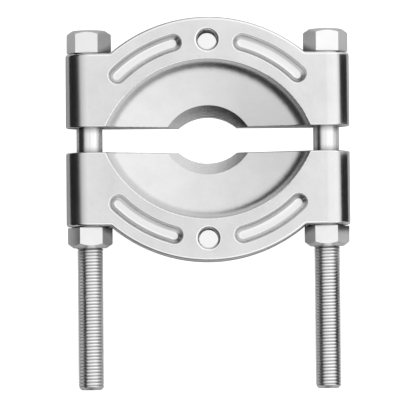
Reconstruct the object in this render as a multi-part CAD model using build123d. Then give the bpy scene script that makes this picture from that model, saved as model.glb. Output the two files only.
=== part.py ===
from build123d import *
import os
from math import radians, sqrt, tan

# Bearing separator: two forged jaws of one shape, held on two long bolts and drawn
# together behind a bearing by two nuts. All lengths in millimetres, angles in degrees.
# Origin: on the bearing axis, midway between the split faces, in the plane of the flat backs.
# X runs across the two bolts, Y along them towards their heads, Z up to the dished faces.

# Bolts and nuts: M16 with 2 mm pitch, the thread drawn as a cylinder at its crests
bolt_d = 16.0
bolt_spacing = 146.0
bolt_length = 207.0
plain_length = 84.0
thread_step = 0.05
bolt_end_chamfer = 2.0
hex_flats = 24.0
head_height = 14.0
nut_height = 12.4
seat_d = 22.5
seat_height = 0.6
hex_top_d = 20.6
hex_chamfer_angle = 35.0
nut_play = 0.05
nut_mouth = 0.7

# Turn of each hexagon away from lying with a flat straight up
left_bolt_turn = -6.0
right_bolt_turn = 4.0
left_nut_turn = 4.0
right_nut_turn = -3.0

# Jaws: a half disc between two ears, each ear half round about its bolt
# The rim's root reaches a little under the hexagons, which get a spot face round them.
split_gap = 15.4
thickness = 29.0
ear_height = 45.5
rim_r = 92.5
root_under_head = 1.5
ear_corner_r = 2.0
seat_room = 0.5
bore_play = 0.5
edge_r = 1.8
split_edge_r = 0.8

# Dish in the front of a jaw: an arc from beside one bolt bore over the crown to the other
dish_wall = 1.2
ring_width = 25.9
dish_draft = 38.0
dish_corner_r = 17.5
dish_outer_z = 24.0
dish_inner_z = 15.5
dish_lip_r = 1.0

# Bevelled half opening that goes in behind the bearing
opening_r = 27.2
opening_drop = 20.5
bevel_width = 7.0
opening_land = 10.2

# Curved pockets either side of the crown hole, concentric with the rim
pocket_inset = 13.2
pocket_width = 10.8
pocket_from = 15.5
pocket_to = 44.3
pocket_depth = 7.5
pocket_draft = 12.0
pocket_floor_r = 3.3
pocket_lip_r = 0.8

# Hole in each crown, bored for an M14 thread with 2 mm pitch
crown_hole_d = 11.8
crown_hole_inset = 14.1
crown_mouth_d = 14.4
crown_mouth_depth = 1.3
crown_lip_r = 1.6

# Worked out from the sizes above
overcut = 1.0
bolt_r = bolt_d / 2
thread_r = bolt_r - thread_step
bore_r = bolt_r + bore_play
hex_corner_r = hex_flats / sqrt(3)
bolt_x = bolt_spacing / 2
mid_z = thickness / 2
jaw_width = bolt_spacing + thickness
seat_y = split_gap / 2 + ear_height
root_x = bolt_x - hex_corner_r + root_under_head
rim_drop = sqrt((rim_r + ear_corner_r) ** 2 - root_x**2) - ear_height - ear_corner_r
crown_y = rim_r - rim_drop
dish_half = bolt_x - bore_r - dish_wall
dish_top = crown_y - ring_width
dish_r = (dish_half**2 + dish_top**2) / (2 * dish_top)
dish_drop = dish_r - dish_top
bevel_r = opening_r + bevel_width
pocket_mid_r = rim_r - pocket_inset
crown_hole_y = crown_y - crown_hole_inset


def turned(*points):
    """The solid turned about Z by a closed outline of (radius, height) points."""
    return revolve(Plane.XZ * make_face(Polyline(*points, close=True)), Axis.Z)


def hexagon(height):
    """A hexagon block standing on z = 0, its top corners cut back by a cone."""
    reach = hex_corner_r + overcut
    shoulder = height - (reach - hex_top_d / 2) * tan(radians(hex_chamfer_angle))
    block = extrude(RegularPolygon(hex_corner_r, 6), height)
    return block & turned((0, 0), (reach, 0), (reach, shoulder), (hex_top_d / 2, height), (0, height))


def along_bolt(piece, x, y, turn):
    """Lays a piece made along Z on the bolt axis at x, its +Z towards the bolt heads."""
    return Pos(x, y, mid_z) * Rot(-90, 0, 0) * Rot(0, 0, turn) * piece


def bolt(x, turn):
    """Hexagon head on a round seat, plain shank, then the threaded length to a chamfered end."""
    head = Pos(0, 0, seat_height) * hexagon(head_height)
    seat = extrude(Circle(seat_d / 2), seat_height)
    shank = turned(
        (0, 0),
        (0, -bolt_length),
        (thread_r - bolt_end_chamfer, -bolt_length),
        (thread_r, -bolt_length + bolt_end_chamfer),
        (thread_r, -plain_length),
        (bolt_r, -plain_length + thread_step),
        (bolt_r, 0),
    )
    return along_bolt(head + seat + shank, x, seat_y, turn)


def nut(x, turn):
    """Hexagon nut on the threaded length, its round seat against the ear of the lower jaw."""
    nut_bore_r = thread_r + nut_play
    mouth_r = nut_bore_r + nut_mouth + overcut
    top = nut_height + seat_height
    body = Pos(0, 0, seat_height) * hexagon(nut_height) + extrude(Circle(seat_d / 2), seat_height)
    hole = turned(
        (0, -overcut),
        (mouth_r, -overcut),
        (nut_bore_r, nut_mouth),
        (nut_bore_r, top - nut_mouth),
        (mouth_r, top + overcut),
        (0, top + overcut),
    )
    return along_bolt(Rot(180, 0, 0) * (body - hole), x, -seat_y, turn)


def jaw_blank():
    """Half disc and ears with rounded edges: split face on y = 0, flat back on z = 0."""
    plan = Pos(0, ear_height / 2) * Rectangle(jaw_width, ear_height)
    plan += Pos(0, -rim_drop) * Circle(rim_r)
    plan &= Pos(0, crown_y / 2) * Rectangle(jaw_width, crown_y)
    rim_end_x = sqrt(rim_r**2 - (rim_drop + ear_height) ** 2)
    plan = fillet([v for v in plan.vertices() if abs(abs(v.X) - rim_end_x) < 0.01], ear_corner_r)
    section = Pos(0, mid_z) * SlotOverall(jaw_width, thickness)
    blank = extrude(plan, thickness) & extrude(Plane.XZ * section, -crown_y)

    ear_ends = blank.edges().filter_by(lambda e: e.bounding_box().min.Y > ear_height - 0.01)
    blank = fillet(ear_ends.filter_by(lambda e: e.bounding_box().size.Z < 0.01 or e.length > thickness + 0.01), edge_r)
    return fillet(blank.edges().filter_by(lambda e: e.bounding_box().max.Y < 0.01), split_edge_r)


def dish():
    """The room in front of the dish: a shallow cone that sweeps up through a wide cove to a leaning wall."""
    wall_lean = tan(radians(dish_draft))
    corner_r = dish_r - (thickness - dish_outer_z) * wall_lean
    bevel_reach = bevel_r + dish_drop - opening_drop
    slope = (dish_outer_z - dish_inner_z) / (corner_r - bevel_reach)
    top = thickness + overcut
    section = make_face(
        Polyline(
            (0, dish_outer_z - corner_r * slope),
            (corner_r, dish_outer_z),
            (dish_r + overcut * wall_lean, top),
            (0, top),
            close=True,
        )
    )
    section = fillet(section.vertices().filter_by(lambda v: abs(v.X - corner_r) < 0.01), dish_corner_r)
    return Pos(0, -dish_drop) * revolve(Plane.XZ * section, Axis.Z)


def opening():
    """The bearing opening: a short land at the back, then a bevel that widens to the dish."""
    top = thickness + overcut
    widening = bevel_width / (dish_inner_z - opening_land)
    top_r = opening_r + (top - opening_land) * widening
    return Pos(0, -opening_drop) * turned(
        (0, -overcut), (opening_r, -overcut), (opening_r, opening_land), (top_r, top), (0, top)
    )


def pocket():
    """The right-hand pocket: a drafted slot along the rim with a round corner at its floor."""
    centre_line = CenterArc((0, -rim_drop), pocket_mid_r, 90 - pocket_to, pocket_to - pocket_from)
    mouth = Pos(0, 0, thickness) * SlotArc(centre_line, pocket_width)
    room = extrude(mouth, -pocket_depth, taper=pocket_draft)
    return fillet(room.faces().sort_by(Axis.Z)[0].edges(), pocket_floor_r)


def crown_hole():
    """The crown hole with a countersink at both faces."""
    core_r = crown_hole_d / 2
    lean = (crown_mouth_d / 2 - core_r) / crown_mouth_depth
    mouth_r = crown_mouth_d / 2 + overcut * lean
    return Pos(0, crown_hole_y) * turned(
        (0, -overcut),
        (mouth_r, -overcut),
        (core_r, crown_mouth_depth),
        (core_r, thickness - crown_mouth_depth),
        (mouth_r, thickness + overcut),
        (0, thickness + overcut),
    )


def spot_face():
    """Room over the right ear in which a hexagon turns clear of the rim's root."""
    room = Plane.XZ * Pos(bolt_x, mid_z) * Circle(hex_corner_r + seat_room)
    return Pos(0, ear_height) * extrude(room, ear_height - crown_y - overcut)


def jaw():
    """One finished jaw, its split face on y = 0 and its crown towards +Y."""
    bore = Plane.XZ * Pos(bolt_x, mid_z) * Circle(bore_r)
    bore = extrude(bore, ear_height + overcut, both=True)
    cut = jaw_blank() - dish() - opening() - pocket() - mirror(pocket(), about=Plane.YZ)
    cut -= bore + mirror(bore, about=Plane.YZ)

    face = cut.faces().filter_by(Plane.XY).sort_by(Axis.Z)[-1]
    cut = fillet([e for wire in face.inner_wires() for e in wire.edges()], pocket_lip_r)
    dish_lip = cut.edges().filter_by(GeomType.CIRCLE).filter_by(lambda e: abs(e.radius - dish_r) < 0.01)
    cut = fillet(dish_lip.filter_by(lambda e: e.center().Z > thickness - 0.01), dish_lip_r)
    cut -= crown_hole() + spot_face() + mirror(spot_face(), about=Plane.YZ)

    face = cut.faces().filter_by(Plane.XY).sort_by(Axis.Z)[-1]
    mouth = face.edges().filter_by(GeomType.CIRCLE).filter_by(lambda e: abs(e.radius - crown_mouth_d / 2) < 0.01)
    return fillet(mouth, crown_lip_r)


parts = {
    "upper_jaw": Pos(0, split_gap / 2) * jaw(),
    "lower_jaw": Rot(0, 0, 180) * Pos(0, split_gap / 2) * jaw(),
    "left_bolt": bolt(-bolt_x, left_bolt_turn),
    "right_bolt": bolt(bolt_x, right_bolt_turn),
    "left_nut": nut(-bolt_x, left_nut_turn),
    "right_nut": nut(bolt_x, right_nut_turn),
}

os.makedirs("parts", exist_ok=True)
for name, solid in parts.items():
    export_step(solid, f"parts/{name}.step")
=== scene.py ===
from math import cos, pi, radians, sin

import bmesh
import bpy
from mathutils import Matrix, Vector


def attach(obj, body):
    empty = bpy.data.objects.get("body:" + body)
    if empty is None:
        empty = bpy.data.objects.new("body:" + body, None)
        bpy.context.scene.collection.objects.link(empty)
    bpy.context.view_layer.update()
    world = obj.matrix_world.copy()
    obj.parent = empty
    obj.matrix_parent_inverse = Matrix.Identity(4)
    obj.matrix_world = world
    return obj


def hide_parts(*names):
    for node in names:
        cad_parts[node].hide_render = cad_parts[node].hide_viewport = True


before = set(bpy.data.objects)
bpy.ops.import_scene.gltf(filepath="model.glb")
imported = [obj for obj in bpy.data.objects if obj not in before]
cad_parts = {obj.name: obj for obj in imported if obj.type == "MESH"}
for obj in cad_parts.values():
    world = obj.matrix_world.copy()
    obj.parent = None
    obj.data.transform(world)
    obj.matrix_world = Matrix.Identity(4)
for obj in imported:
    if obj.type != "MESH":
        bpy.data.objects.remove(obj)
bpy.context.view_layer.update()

# Sizes of the bearing separator, in metres, the same as in its solids.
# X runs across the bolts, Y along them towards the heads, Z up to the dished faces.
MM = 0.001
BOLT_X = 73 * MM
BOLT_Z = 14.5 * MM
SEAT_Y = 53.2 * MM
SHANK_R = 8 * MM
PLAIN_LENGTH = 84 * MM
BOLT_LENGTH = 207 * MM
TIP_CHAMFER = 2 * MM
SPLIT_Y = 7.7 * MM
THICKNESS = 29 * MM
OPENING_DROP = 20.5 * MM
BEVEL_R = 34.2 * MM
CROWN_HOLE_Y = 61.125 * MM
CROWN_HOLE_R = 5.9 * MM

# The pockets follow the rim, whose centre lies this far behind the split face, between two distances
# from the middle
RIM_DROP = 24.9745 * MM
POCKET_MID_R = 79.3 * MM
POCKET_HALF = 5.4 * MM
POCKET_X = (12 * MM, 62 * MM)

# Rolled M16 thread of the bolts and tapped M14 thread of the crown holes, both 2 mm pitch.
# A row is one step along the profile: its height in pitches and its share of the depth.
PITCH = 2 * MM
ROLLED_DEPTH = 0.85 * MM
TAPPED_DEPTH = 1.12 * MM
CROWN_THREAD_R = 7 * MM
THREAD_SEGMENTS = 48
ROW_HEIGHTS = (0.0, 0.14, 0.28, 0.40, 0.52, 0.64, 0.76, 0.88)
ROW_DEPTHS = (0.0, 0.0, 0.0, 0.18, 0.72, 1.0, 0.72, 0.18)
ROWS = float(len(ROW_HEIGHTS))

# Finish: the plating's roughness, the width of its cloudy patches, how far the painted shade reaches out of a
# corner, the spacing of turning marks, the rounding below which an edge is worn bright and given a painted
# highlight, and the colours of the worn edges and painted highlights and of the painted shade
SATIN = 0.22
CLOUD = 16 * MM
SHADE_REACH = 6 * MM
TOOL_MARK = 0.9 * MM
WORN_AND_HIGHLIT_R = 2.2 * MM
BRIGHT = "#F2F2F2"
PAINTED_SHADE = "#303030"

# Shading: faces that turn by less than this where they meet are one rounded surface
CREASE = radians(14)

# What finishes a piece: corners broken by a third of a millimetre, and flats that shade flat
BROKEN_CORNERS = (
    "BEVEL",
    {
        "width": 0.35 * MM,
        "segments": 2,
        "limit_method": "ANGLE",
        "angle_limit": radians(25),
        "harden_normals": False,
    },
)
FLAT_FLATS = ("WEIGHTED_NORMAL", {"keep_sharp": True, "weight": 80, "mode": "FACE_AREA"})


def linear(code):
    """An sRGB hex colour such as "#C8C8C8" as linear RGBA."""
    channels = [int(code[i : i + 2], 16) / 255 for i in (1, 3, 5)]
    return [c / 12.92 if c <= 0.04045 else ((c + 0.055) / 1.055) ** 2.4 for c in channels] + [1.0]


def grey(value):
    """A neutral linear colour of that strength."""
    return (value, value, value, 1.0)


def put(tree, kind, inputs=None, **settings):
    """Adds a node with its settings; each input is a value or the output that feeds it."""
    node = tree.nodes.new(kind)
    for name, value in settings.items():
        setattr(node, name, value)
    for socket, value in (inputs or {}).items():
        if isinstance(value, bpy.types.NodeSocket):
            tree.links.new(value, node.inputs[socket])
        else:
            node.inputs[socket].default_value = value
    return node


def ramp(node, *stops):
    """Gives a ramp node its stops, each a position and a colour."""
    elements = node.color_ramp.elements
    while len(elements) < len(stops):
        elements.new(0.5)
    for element, (position, colour) in zip(elements, stops):
        element.position = position
        element.color = colour
    return node


def empty_material(name):
    """A new material and its tree, without the nodes it comes with."""
    material = bpy.data.materials.new(name)
    material.use_nodes = True
    material.node_tree.nodes.clear()
    return material, material.node_tree


# Materials

def satin_steel(name, low, high, grain, depth, tool_marks=None):
    """Steel under a thin satin plating: bright, nearly neutral, softly blurred reflections.

    The skin under the plating has a fine grain, drawn at twice its real 0.25 to 0.3 mm so that it
    shows, and the plating is a shade cloudier in patches of a centimetre or two. The outer edges,
    marked "edge", are brighter: partly wear, partly a painted highlight. The floors of the pockets,
    marked for it, carry a painted highlight. Tight corners, spots near other pieces and the roots of
    the threads, marked "root", are darkened with painted shade."""
    material, tree = empty_material(name)
    place = put(tree, "ShaderNodeTexCoord").outputs["Object"]
    edge = put(tree, "ShaderNodeAttribute", attribute_name="edge").outputs["Fac"]
    painted_pocket_highlight = put(tree, "ShaderNodeAttribute", attribute_name="painted_pocket_highlight").outputs["Fac"]
    root = put(tree, "ShaderNodeAttribute", attribute_name="root").outputs["Fac"]
    bored = put(tree, "ShaderNodeAttribute", attribute_name="bored").outputs["Fac"]

    # Colour: cloudy and grained, brighter on the edges (wear and a painted highlight) and the pocket floors
    # (a painted highlight)
    cloud = put(
        tree,
        "ShaderNodeTexNoise",
        {"Vector": place, "Scale": 1 / CLOUD, "Detail": 3.0, "Roughness": 0.55},
    ).outputs["Fac"]
    fine = put(
        tree,
        "ShaderNodeTexNoise",
        {"Vector": place, "Scale": 1 / grain, "Detail": 2.0, "Roughness": 0.6},
    ).outputs["Fac"]
    mottle = put(tree, "ShaderNodeMath", {0: cloud, 1: fine}, operation="ADD")
    mottle = put(tree, "ShaderNodeMath", {0: mottle.outputs[0], 1: 0.5}, operation="MULTIPLY")
    tone = ramp(
        put(tree, "ShaderNodeValToRGB", {"Fac": mottle.outputs[0]}),
        (0.34, linear(low)),
        (0.66, linear(high)),
    )
    painted_pocket_highlight = put(tree, "ShaderNodeMath", {0: painted_pocket_highlight, 1: 0.75}, operation="MULTIPLY")
    bright = put(tree, "ShaderNodeMath", {0: edge, 1: painted_pocket_highlight.outputs[0]}, operation="MAXIMUM")
    colour = put(
        tree,
        "ShaderNodeMix",
        {0: bright.outputs[0], 6: tone.outputs["Color"], 7: linear(BRIGHT)},
        data_type="RGBA",
    )

    # Painted shade: the most of what the thread roots, spots near other pieces and tight corners get. Where
    # the sky over a spot is smaller than its own piece makes it, another piece is near and shades it.
    painted_shade = put(tree, "ShaderNodeMapRange", {"Value": root, "From Min": 0.4, "To Max": 0.2})
    sky = put(tree, "ShaderNodeAmbientOcclusion", {"Distance": SHADE_REACH}, samples=8).outputs["AO"]
    own_sky = put(
        tree, "ShaderNodeAmbientOcclusion", {"Distance": SHADE_REACH}, samples=8, only_local=True
    ).outputs["AO"]
    joint = put(tree, "ShaderNodeMath", {0: sky, 1: own_sky}, operation="DIVIDE").outputs[0]
    for openness, unshaded_level, shaded_level, strength in ((joint, 0.88, 0.50, 0.6), (sky, 0.62, 0.25, 0.7)):
        held = put(
            tree,
            "ShaderNodeMapRange",
            {"Value": openness, "From Min": unshaded_level, "From Max": shaded_level, "To Max": strength},
        )
        painted_shade = put(tree, "ShaderNodeMath", {0: painted_shade.outputs[0], 1: held.outputs[0]}, operation="MAXIMUM")
    colour = put(
        tree,
        "ShaderNodeMix",
        {0: painted_shade.outputs[0], 6: colour.outputs[2], 7: linear(PAINTED_SHADE)},
        data_type="RGBA",
    )

    # Roughness: uneven by the cloud, smoother where it is rubbed or bored
    rough = put(
        tree,
        "ShaderNodeMapRange",
        {"Value": cloud, "From Min": 0.3, "From Max": 0.7, "To Min": SATIN - 0.03, "To Max": SATIN + 0.03},
    )
    for smoother, change in ((edge, -0.08), (bored, -0.10)):
        rough = put(
            tree,
            "ShaderNodeMath",
            {0: smoother, 1: change, 2: rough.outputs[0]},
            operation="MULTIPLY_ADD",
        )

    bump = put(tree, "ShaderNodeBump", {"Height": fine, "Strength": 0.5, "Distance": depth})
    normal = bump.outputs["Normal"]
    if tool_marks:
        normal = tool_marks(tree, place, bored, normal)
    surface = put(
        tree,
        "ShaderNodeBsdfPrincipled",
        {"Base Color": colour.outputs[2], "Metallic": 1.0, "Roughness": rough.outputs[0], "Normal": normal},
    )
    put(tree, "ShaderNodeOutputMaterial", {"Surface": surface.outputs[0]})
    return material


def turning_marks(centre_y):
    """Tool marks of the bored opening: rings about its axis, drawn at 0.9 mm so that they show."""

    def marks(tree, place, bored, normal):
        # A wave texture of scale 1 repeats every 0.314 m
        centred = put(tree, "ShaderNodeMapping", {"Vector": place, "Location": (0, -centre_y, 0)})
        rings = put(
            tree,
            "ShaderNodeTexWave",
            {
                "Vector": centred.outputs[0],
                "Scale": 0.314 / TOOL_MARK,
                "Distortion": 0.6,
                "Detail": 2.0,
                "Detail Scale": 1.5,
            },
            wave_type="RINGS",
            rings_direction="Z",
        )
        strength = put(tree, "ShaderNodeMath", {0: bored, 1: 0.35}, operation="MULTIPLY")
        bump = put(
            tree,
            "ShaderNodeBump",
            {
                "Height": rings.outputs["Fac"],
                "Strength": strength.outputs[0],
                "Distance": 0.05 * MM,
                "Normal": normal,
            },
        )
        return bump.outputs["Normal"]

    return marks


# Pieces

def steel_mesh(node):
    """A CAD piece as one joined mesh in which only its real edges are sharp."""
    work = bmesh.new()
    work.from_mesh(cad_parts[node].data)
    bmesh.ops.remove_doubles(work, verts=work.verts, dist=2e-6)
    mesh = bpy.data.meshes.new(node)
    work.to_mesh(mesh)
    work.free()
    if "custom_normal" in mesh.attributes:
        mesh.attributes.remove(mesh.attributes["custom_normal"])
    mesh.materials.clear()
    mesh.shade_smooth()
    mesh.set_sharp_from_angle(angle=CREASE)
    return mesh


def settle(name, mesh, material, *modifiers):
    """The mesh with its modifiers applied, as a new object of that name and material."""
    maker = bpy.data.objects.new(name, mesh)
    bpy.context.scene.collection.objects.link(maker)
    for kind, settings in modifiers:
        modifier = maker.modifiers.new(kind.lower(), kind)
        for setting, value in settings.items():
            setattr(modifier, setting, value)
    bpy.context.view_layer.update()
    made = bpy.data.meshes.new_from_object(maker.evaluated_get(bpy.context.evaluated_depsgraph_get()))
    bpy.data.objects.remove(maker)
    made.name = name
    made.materials.clear()
    made.materials.append(material)
    piece = bpy.data.objects.new(name, made)
    bpy.context.scene.collection.objects.link(piece)
    return piece


def mark_faces(mesh, name, inside):
    """A face attribute that is 1 where inside(face) holds and 0 elsewhere."""
    marks = mesh.attributes.new(name, "FLOAT", "FACE")
    marks.data.foreach_set("value", [float(inside(face)) for face in mesh.polygons])


def mark_edges(mesh):
    """Marks the faces of tight convex roundings: there the skin is worn bright and also carries a painted
    highlight.
    """
    corner = mesh.corner_normals

    def worn_and_highlit(face):
        loops = list(face.loop_indices)
        most = 0.0
        for a, b in zip(loops, loops[1:] + loops[:1]):
            step = mesh.vertices[mesh.loops[b].vertex_index].co - mesh.vertices[mesh.loops[a].vertex_index].co
            if step.length_squared > 0:
                most = max(most, (corner[b].vector - corner[a].vector).dot(step) / step.length_squared)
        return most > 1 / WORN_AND_HIGHLIT_R

    mark_faces(mesh, "edge", worn_and_highlit)


def thread_tree():
    """Geometry nodes for one screw thread standing on the origin along Z, tip down."""
    tree = bpy.data.node_groups.new("screw_thread", "GeometryNodeTree")
    sockets = (
        ("Crest Radius", "NodeSocketFloat"),
        ("Pitch", "NodeSocketFloat"),
        ("Depth", "NodeSocketFloat"),
        ("Length", "NodeSocketFloat"),
        ("Tip Radius", "NodeSocketFloat"),
        ("Run-out", "NodeSocketFloat"),
        ("Segments", "NodeSocketInt"),
        ("Material", "NodeSocketMaterial"),
    )
    for label, kind in sockets:
        tree.interface.new_socket(label, in_out="INPUT", socket_type=kind)
    tree.interface.new_socket("Geometry", in_out="OUTPUT", socket_type="NodeSocketGeometry")
    given = put(tree, "NodeGroupInput").outputs

    # A flat sheet to be rolled up, with two turns more than the length needs
    turns = put(tree, "ShaderNodeMath", {0: given["Length"], 1: given["Pitch"]}, operation="DIVIDE")
    turns = put(tree, "ShaderNodeMath", {0: turns.outputs[0]}, operation="CEIL")
    turns = put(tree, "ShaderNodeMath", {0: turns.outputs[0], 1: 2.0}, operation="ADD")
    steps = put(tree, "ShaderNodeMath", {0: turns.outputs[0], 1: ROWS}, operation="MULTIPLY")
    rows = put(tree, "ShaderNodeMath", {0: steps.outputs[0], 1: 1.0}, operation="ADD")
    around = put(tree, "ShaderNodeMath", {0: given["Segments"], 1: 1.0}, operation="ADD")
    sheet = put(
        tree,
        "GeometryNodeMeshGrid",
        {"Size X": 1.0, "Size Y": 1.0, "Vertices X": around.outputs[0], "Vertices Y": rows.outputs[0]},
    )
    spot = put(tree, "ShaderNodeSeparateXYZ", {0: put(tree, "GeometryNodeInputPosition").outputs[0]})
    turn = put(tree, "ShaderNodeMath", {0: spot.outputs["X"], 1: 0.5}, operation="ADD")
    along = put(tree, "ShaderNodeMath", {0: spot.outputs["Y"], 1: 0.5}, operation="ADD")
    row = put(tree, "ShaderNodeMath", {0: along.outputs[0], 1: steps.outputs[0]}, operation="MULTIPLY")
    row = put(tree, "ShaderNodeMath", {0: row.outputs[0]}, operation="ROUND")
    whole = put(tree, "ShaderNodeMath", {0: row.outputs[0], 1: ROWS}, operation="DIVIDE")
    whole = put(tree, "ShaderNodeMath", {0: whole.outputs[0]}, operation="FLOOR")
    step = put(tree, "ShaderNodeMath", {0: row.outputs[0], 1: ROWS}, operation="MODULO")

    # The rows of a pitch: the flat crest, its rubbed edges, the flanks and the round root
    shares = []
    for values in (ROW_HEIGHTS, ROW_DEPTHS):
        share = put(tree, "GeometryNodeIndexSwitch", data_type="FLOAT")
        for _ in values[2:]:
            share.index_switch_items.new()
        tree.links.new(step.outputs[0], share.inputs[0])
        for slot, value in enumerate(values, 1):
            share.inputs[slot].default_value = value
        shares.append(share.outputs[0])
    share_up, share_deep = shares

    # Height on the axis, one pitch a turn, held between the two ends
    height = put(tree, "ShaderNodeMath", {0: whole.outputs[0], 1: share_up}, operation="ADD")
    height = put(tree, "ShaderNodeMath", {0: height.outputs[0], 1: turn.outputs[0]}, operation="ADD")
    height = put(tree, "ShaderNodeMath", {0: height.outputs[0], 1: 1.0}, operation="SUBTRACT")
    height = put(tree, "ShaderNodeMath", {0: height.outputs[0], 1: given["Pitch"]}, operation="MULTIPLY")
    height = put(tree, "ShaderNodeMath", {0: height.outputs[0], 1: 0.0}, operation="MAXIMUM")
    height = put(tree, "ShaderNodeMath", {0: height.outputs[0], 1: given["Length"]}, operation="MINIMUM")
    height = height.outputs[0]

    # Radius: the groove fades out towards the shank and is cut by the chamfer at the tip
    left = put(tree, "ShaderNodeMath", {0: given["Length"], 1: height}, operation="SUBTRACT").outputs[0]
    fade = put(tree, "ShaderNodeMath", {0: left, 1: given["Run-out"]}, operation="DIVIDE", use_clamp=True)
    groove = put(tree, "ShaderNodeMath", {0: share_deep, 1: given["Depth"]}, operation="MULTIPLY")
    groove = put(tree, "ShaderNodeMath", {0: groove.outputs[0], 1: fade.outputs[0]}, operation="MULTIPLY")
    radius = put(
        tree, "ShaderNodeMath", {0: given["Crest Radius"], 1: groove.outputs[0]}, operation="SUBTRACT"
    ).outputs[0]
    cone = put(tree, "ShaderNodeMath", {0: given["Tip Radius"], 1: height}, operation="ADD").outputs[0]
    radius = put(tree, "ShaderNodeMath", {0: radius, 1: cone}, operation="MINIMUM").outputs[0]

    # Rolled up about the axis
    angle = put(tree, "ShaderNodeMath", {0: turn.outputs[0], 1: 2 * pi}, operation="MULTIPLY").outputs[0]
    across = put(tree, "ShaderNodeMath", {0: angle}, operation="COSINE")
    across = put(tree, "ShaderNodeMath", {0: across.outputs[0], 1: radius}, operation="MULTIPLY")
    deep = put(tree, "ShaderNodeMath", {0: angle}, operation="SINE")
    deep = put(tree, "ShaderNodeMath", {0: deep.outputs[0], 1: radius}, operation="MULTIPLY")
    point = put(tree, "ShaderNodeCombineXYZ", {"X": across.outputs[0], "Y": deep.outputs[0], "Z": height})
    # The depth share is kept as "root"; the material darkens the thread roots with painted shade
    wall = put(
        tree,
        "GeometryNodeStoreNamedAttribute",
        {"Geometry": sheet.outputs["Mesh"], "Name": "root", "Value": share_deep},
        data_type="FLOAT",
        domain="POINT",
    )
    wall = put(tree, "GeometryNodeSetPosition", {"Geometry": wall.outputs[0], "Position": point.outputs[0]})

    # The two ends close it
    tip = put(
        tree,
        "GeometryNodeMeshCircle",
        {"Vertices": given["Segments"], "Radius": given["Tip Radius"]},
        fill_type="NGON",
    )
    tip = put(tree, "GeometryNodeFlipFaces", {"Mesh": tip.outputs[0]})
    top = put(
        tree,
        "GeometryNodeMeshCircle",
        {"Vertices": given["Segments"], "Radius": given["Crest Radius"]},
        fill_type="NGON",
    )
    lift = put(tree, "ShaderNodeCombineXYZ", {"Z": given["Length"]})
    top = put(tree, "GeometryNodeTransform", {"Geometry": top.outputs[0], "Translation": lift.outputs[0]})
    rod = put(tree, "GeometryNodeJoinGeometry")
    for part in (wall, tip, top):
        tree.links.new(part.outputs[0], rod.inputs[0])
    rod = put(tree, "GeometryNodeMergeByDistance", {"Geometry": rod.outputs[0], "Distance": 1e-6})
    rod = put(tree, "GeometryNodeRealizeInstances", {"Geometry": rod.outputs[0]})
    rod = put(tree, "GeometryNodeSetMaterial", {"Geometry": rod.outputs[0], "Material": given["Material"]})
    put(tree, "NodeGroupOutput", {0: rod.outputs[0]})
    return tree


def thread(tree, place, material, **sizes):
    """One screw thread made by the tree, as a closed mesh put in its place."""
    maker = bpy.data.objects.new("thread", bpy.data.meshes.new("thread"))
    modifier = maker.modifiers.new("thread", "NODES")
    modifier.node_group = tree
    keys = {item.name: item.identifier for item in tree.interface.items_tree if item.in_out == "INPUT"}
    modifier[keys["Material"]] = material
    for label, value in sizes.items():
        modifier[keys[label]] = value
    bpy.context.scene.collection.objects.link(maker)
    bpy.context.view_layer.update()
    mesh = bpy.data.meshes.new_from_object(maker.evaluated_get(bpy.context.evaluated_depsgraph_get()))
    bpy.data.objects.remove(maker)
    work = bmesh.new()
    work.from_mesh(mesh)
    bmesh.ops.dissolve_degenerate(work, dist=1e-6, edges=work.edges)
    bmesh.ops.recalc_face_normals(work, faces=work.faces)
    work.to_mesh(mesh)
    work.free()
    mesh.transform(place)
    mesh.shade_smooth()
    mesh.set_sharp_from_angle(angle=radians(75))
    for face in mesh.polygons:
        face.use_smooth = len(face.vertices) <= 4
    return mesh


def jaw(node, material, tap, side):
    """A forged jaw: the CAD solid with smooth roundings and the crown hole's thread cut in it."""
    tool = bpy.data.objects.new(node + "_tap", tap)
    bpy.context.scene.collection.objects.link(tool)
    tapping = ("BOOLEAN", {"operation": "DIFFERENCE", "solver": "EXACT", "object": tool})
    piece = settle(node + "_forging", steel_mesh(node), material, tapping, FLAT_FLATS)
    bpy.data.objects.remove(tool)
    opening_y = side * (SPLIT_Y - OPENING_DROP)
    rim_y = side * (SPLIT_Y - RIM_DROP)

    def bored(face):
        reach = Vector((face.center.x, face.center.y - opening_y)).length
        return reach < BEVEL_R + 0.1 * MM and face.center.z > 0.01 * MM and side * face.center.y > SPLIT_Y

    # The pocket floors are marked for a painted highlight
    def pocket_floor(face):
        reach = Vector((face.center.x, face.center.y - rim_y)).length
        beside = POCKET_X[0] < abs(face.center.x) < POCKET_X[1] and abs(reach - POCKET_MID_R) < POCKET_HALF
        return beside and face.center.z < THICKNESS - 1 * MM and face.normal.z > 0.94

    mark_edges(piece.data)
    mark_faces(piece.data, "bored", bored)
    mark_faces(piece.data, "painted_pocket_highlight", pocket_floor)
    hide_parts(node)
    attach(piece, node)


def hexagon(name, node, material, cut_y=None):
    """A CAD bolt or nut with broken corners, worn bright and carrying a painted highlight. A bolt ends at
    cut_y, where its thread begins.
    """
    work = bmesh.new()
    work.from_mesh(steel_mesh(node))
    if cut_y is not None:
        bmesh.ops.bisect_plane(
            work,
            geom=work.verts[:] + work.edges[:] + work.faces[:],
            plane_co=(0, cut_y, 0),
            plane_no=(0, -1, 0),
            clear_outer=True,
        )
        bmesh.ops.holes_fill(work, edges=[e for e in work.edges if e.is_boundary])
    bmesh.ops.dissolve_limit(work, angle_limit=radians(0.5), verts=work.verts, edges=work.edges)
    mesh = bpy.data.meshes.new(name)
    work.to_mesh(mesh)
    work.free()
    piece = settle(name, mesh, material, BROKEN_CORNERS, FLAT_FLATS)
    mark_edges(piece.data)
    return piece


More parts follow.
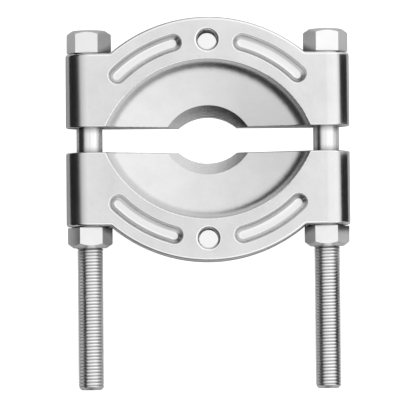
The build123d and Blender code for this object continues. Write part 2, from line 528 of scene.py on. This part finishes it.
def bolt(node, x, material, tree):
    """A long bolt: the CAD head and plain shank, then the rolled thread."""
    head_piece = hexagon(node + "_head", node, material, SEAT_Y - PLAIN_LENGTH)
    place = Matrix.Translation((x, SEAT_Y - BOLT_LENGTH, BOLT_Z)) @ Matrix.Rotation(-pi / 2, 4, "X")
    sizes = {
        "Crest Radius": SHANK_R,
        "Pitch": PITCH,
        "Depth": ROLLED_DEPTH,
        "Length": BOLT_LENGTH - PLAIN_LENGTH,
        "Tip Radius": SHANK_R - TIP_CHAMFER,
        "Run-out": 3 * MM,
        "Segments": THREAD_SEGMENTS,
    }
    rod_piece = bpy.data.objects.new(node + "_thread", thread(tree, place, material, **sizes))
    rod_piece.data.materials.clear()
    rod_piece.data.materials.append(material)
    bpy.context.scene.collection.objects.link(rod_piece)
    for piece in (head_piece, rod_piece):
        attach(piece, node)
    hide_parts(node)


def nut(node, material):
    """A hexagon nut."""
    piece = hexagon(node + "_hexagon", node, material)
    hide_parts(node)
    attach(piece, node)


# Studio

def light_tent():
    """A round cloth tent lit from outside, seen only in the metal and by the floor. Overhead it is a wide
    bright oval with a dimmer patch, which the flat faces mirror. Low down it is dark on the left and at
    the thread ends, and bright on the right and towards the heads."""
    material, tree = empty_material("tent_cloth")
    way = put(tree, "ShaderNodeTexCoord").outputs["Object"]
    axes = put(tree, "ShaderNodeSeparateXYZ", {0: way}).outputs

    # The oval: how far a direction is from its middle, in half widths, once X and Y are divided by 1 + Z
    flatten = put(tree, "ShaderNodeMath", {0: axes["Z"], 1: 1.001}, operation="ADD")
    spread = []
    for axis, middle, half_width in (("X", 0.117, 0.583), ("Y", 0.12, 0.70)):
        flat = put(tree, "ShaderNodeMath", {0: axes[axis], 1: flatten.outputs[0]}, operation="DIVIDE")
        flat = put(tree, "ShaderNodeMath", {0: flat.outputs[0], 1: middle}, operation="SUBTRACT")
        flat = put(tree, "ShaderNodeMath", {0: flat.outputs[0], 1: half_width}, operation="DIVIDE")
        flat = put(tree, "ShaderNodeMath", {0: flat.outputs[0], 1: 2.0}, operation="POWER")
        spread.append(flat.outputs[0])
    reach = put(tree, "ShaderNodeMath", {0: spread[0], 1: spread[1]}, operation="ADD")
    reach = put(tree, "ShaderNodeMath", {0: reach.outputs[0]}, operation="SQRT")
    reach = put(tree, "ShaderNodeMath", {0: reach.outputs[0], 1: 0.5}, operation="MULTIPLY")
    oval = ramp(
        put(tree, "ShaderNodeValToRGB", {"Fac": reach.outputs[0]}),
        (0.0, grey(0.98)),
        (0.32, grey(0.98)),
        (0.41, grey(0.90)),
        (0.46, grey(0.68)),
        (0.51, grey(0.27)),
        (0.55, grey(0.09)),
        (0.62, grey(0.035)),
        (1.0, grey(0.03)),
    )

    # It is brighter to the right, and a little towards the heads
    slope = put(tree, "ShaderNodeMath", {0: axes["X"], 1: 0.30, 2: 1.03}, operation="MULTIPLY_ADD")
    slope = slope.outputs[0]
    slope = put(tree, "ShaderNodeMath", {0: axes["Y"], 1: 0.02, 2: slope}, operation="MULTIPLY_ADD")

    # The dimmer patch: 7 degrees round what the flat ring faces mirror, with a brighter ring about it
    aside = put(tree, "ShaderNodeVectorMath", {0: way, 1: (0.0, 0.04, 1.0)}, operation="DISTANCE")
    patch = ramp(
        put(tree, "ShaderNodeValToRGB", {"Fac": aside.outputs["Value"]}),
        (0.05, grey(0.81)),
        (0.13, grey(1.07)),
        (0.30, grey(1.07)),
        (0.50, grey(1.0)),
    )
    above = put(
        tree, "ShaderNodeMath", {0: slope.outputs[0], 1: patch.outputs["Color"]}, operation="MULTIPLY"
    ).outputs[0]
    above = put(tree, "ShaderNodeMath", {0: oval.outputs["Color"], 1: above}, operation="MULTIPLY")

    # Low down the cloth is lit by direction round the tool, in degrees from the right towards the heads
    heading = put(tree, "ShaderNodeMath", {0: axes["Y"], 1: axes["X"]}, operation="ARCTAN2")
    heading = put(tree, "ShaderNodeMapRange", {"Value": heading.outputs[0], "From Min": -pi, "From Max": pi})
    levels = (
        (-125, 0.02), (-108, 0.03), (-98, 0.04), (-90, 0.07), (-80, 0.18), (-72, 0.27), (-55, 0.42),
        (0, 0.81), (35, 0.90), (55, 0.88), (72, 0.80), (90, 0.62), (100, 0.36), (108, 0.14), (116, 0.04),
        (124, 0.02),
    )
    low = ramp(
        put(tree, "ShaderNodeValToRGB", {"Fac": heading.outputs[0]}),
        *((0.5 + degrees / 360, grey(level)) for degrees, level in levels),
    )
    both = put(tree, "ShaderNodeMath", {0: above.outputs[0], 1: low.outputs["Color"]}, operation="MAXIMUM")
    glow = put(tree, "ShaderNodeEmission", {"Color": grey(1.0), "Strength": both.outputs[0]})
    put(tree, "ShaderNodeOutputMaterial", {"Surface": glow.outputs[0]})

    work = bmesh.new()
    bmesh.ops.create_uvsphere(work, u_segments=48, v_segments=24, radius=1.0)
    bmesh.ops.delete(work, geom=[v for v in work.verts if v.co.z < -0.2], context="VERTS")
    mesh = bpy.data.meshes.new("tent")
    work.to_mesh(mesh)
    work.free()
    mesh.materials.append(material)
    tent = bpy.data.objects.new("tent", mesh)
    bpy.context.scene.collection.objects.link(tent)
    tent.visible_camera = False
    tent.visible_shadow = False


def white_room():
    """The white that the camera sees past the floor."""
    world = bpy.data.worlds.new("white_room")
    world.use_nodes = True
    world.node_tree.nodes["Background"].inputs["Color"].default_value = grey(1.0)
    bpy.context.scene.world = world


def board_paint(name, colour, glow):
    """Matt board that keeps the soft shadow. The glow makes it read as white paper to the camera and in
    the metal."""
    material, tree = empty_material(name)
    path = put(tree, "ShaderNodeLightPath").outputs
    seen = put(
        tree, "ShaderNodeMath", {0: path["Is Camera Ray"], 1: path["Is Glossy Ray"]}, operation="MAXIMUM"
    )
    lift = put(tree, "ShaderNodeMath", {0: seen.outputs[0], 1: glow}, operation="MULTIPLY")
    surface = put(
        tree,
        "ShaderNodeBsdfPrincipled",
        {
            "Base Color": linear(colour),
            "Roughness": 1.0,
            "Specular IOR Level": 0.0,
            "Emission Color": grey(1.0),
            "Emission Strength": lift.outputs[0],
        },
    )
    put(tree, "ShaderNodeOutputMaterial", {"Surface": surface.outputs[0]})
    return material


def card_glow(name, strength):
    """A reflector card that shows in the metal as an even grey."""
    material, tree = empty_material(name)
    glow = put(tree, "ShaderNodeEmission", {"Color": grey(1.0), "Strength": strength})
    put(tree, "ShaderNodeOutputMaterial", {"Surface": glow.outputs[0]})
    return material


def flat_card(name, low, high, material):
    """A rectangle between two opposite corners, at one height or upright, as part of the studio."""
    (x0, y0, z0), (x1, y1, z1) = low, high
    if z0 == z1:
        corners = [(x0, y0, z0), (x1, y0, z0), (x1, y1, z0), (x0, y1, z0)]
    else:
        corners = [(x0, y0, z0), (x1, y1, z0), (x1, y1, z1), (x0, y0, z1)]
    mesh = bpy.data.meshes.new(name)
    mesh.from_pydata(corners, [], [(0, 1, 2, 3)])
    mesh.materials.append(material)
    card = bpy.data.objects.new(name, mesh)
    bpy.context.scene.collection.objects.link(card)
    return card


def floor_and_cards():
    """The white floor that the camera sees, and what only the metal sees: a grey table under the tool,
    black flags beside its dark sides and a grey card that keeps the left thread's lower edge light."""
    flat_card("floor", (-4, -4, -0.0003), (4, 4, -0.0003), board_paint("matt_white_board", "#F2F2F2", 0.86))
    table_paint = board_paint("matt_grey_board", "#C8C8C8", 0.0)
    flag_paint = card_glow("black_flag", 0.02)
    card_paint = card_glow("grey_card", 0.45)
    for name, low, high, paint in (
        ("table", (-0.7, -0.7, -0.0002), (0.7, 0.7, -0.0002), table_paint),
        ("left_flag", (-0.135, -0.30, 0.0), (-0.135, 0.15, 0.047), flag_paint),
        ("left_thread_flag", (-0.102, -0.17, 0.028), (-0.102, -0.07, 0.050), flag_paint),
        ("left_thread_card", (-0.102, -0.17, 0.0), (-0.102, -0.07, 0.028), card_paint),
        ("right_thread_flag", (0.112, -0.17, 0.0), (0.112, -0.07, 0.028), flag_paint),
        ("upper_right_flag", (0.112, 0.008, 0.0), (0.112, 0.056, 0.036), flag_paint),
        ("lower_right_flag", (0.112, -0.056, 0.0), (0.112, -0.008, 0.036), flag_paint),
    ):
        card = flat_card(name, low, high, paint)
        card.visible_camera = False
        card.visible_diffuse = False
        card.visible_shadow = False


def key_light():
    """A soft box up to the right, which gives the shadow its direction and doesn't show in the metal."""
    data = bpy.data.lights.new("soft_box", "AREA")
    data.size = 0.3
    data.energy = 0.15
    lamp = bpy.data.objects.new("soft_box", data)
    place = Vector((0.40, 0.30, 0.75))
    lamp.matrix_world = Matrix.Translation(place) @ place.to_track_quat("Z", "Y").to_matrix().to_4x4()
    lamp.visible_glossy = False
    bpy.context.scene.collection.objects.link(lamp)


def camera():
    """The photograph's view: from 3 m above the dished faces, leant a little towards the thread ends."""
    lean, turn, distance, width = radians(2.5), radians(0.517), 3.0, 0.24666
    back = Vector((0, -sin(lean), cos(lean)))
    up = Vector((0, cos(lean), sin(lean)))
    right = Vector((1, 0, 0)) * cos(turn) - up * sin(turn)
    up = up * cos(turn) + Vector((1, 0, 0)) * sin(turn)
    lens = bpy.data.cameras.new("camera")
    lens.sensor_width = 36
    lens.lens = 36 * distance / width
    lens.clip_end = 20
    eye = bpy.data.objects.new("camera", lens)
    place = Matrix((right, up, back)).transposed().to_4x4()
    place.translation = Vector((-0.00517, -0.03708, 0.0145)) + back * distance
    eye.matrix_world = place
    bpy.context.scene.collection.objects.link(eye)
    bpy.context.scene.camera = eye


camera()
white_room()
light_tent()
key_light()
floor_and_cards()

# Jaws: drop forged and blasted before plating, so a shade greyer than the bolts and nuts.
# Each jaw has its own material, because the turning marks are centred on its own opening.
tree = thread_tree()
tap_sizes = {
    "Crest Radius": CROWN_THREAD_R,
    "Pitch": PITCH,
    "Depth": TAPPED_DEPTH,
    "Length": THICKNESS + 4 * MM,
    "Tip Radius": CROWN_HOLE_R - 0.4 * MM,
    "Run-out": 0.5 * MM,
    "Segments": THREAD_SEGMENTS,
}
for node, side in (("upper_jaw", 1), ("lower_jaw", -1)):
    marks = turning_marks(side * (SPLIT_Y - OPENING_DROP))
    forged = satin_steel("blasted_" + node + "_steel", "#D8D8D8", "#E4E4E4", 0.6 * MM, 0.03 * MM, marks)
    place = Matrix.Translation((0, side * CROWN_HOLE_Y, -2 * MM))
    jaw(node, forged, thread(tree, place, forged, **tap_sizes), side)

# Bolts and nuts: rolled and pressed from drawn bar, whose smooth skin plates brighter
rolled = satin_steel("rolled_bolt_steel", "#E8E8E8", "#F2F2F2", 0.5 * MM, 0.02 * MM)
pressed = satin_steel("pressed_nut_steel", "#EAEAEA", "#F4F4F4", 0.5 * MM, 0.02 * MM)
bolt("left_bolt", -BOLT_X, rolled, tree)
bolt("right_bolt", BOLT_X, rolled, tree)
nut("left_nut", pressed)
nut("right_nut", pressed)

bpy.context.scene.view_settings.view_transform = "Standard"
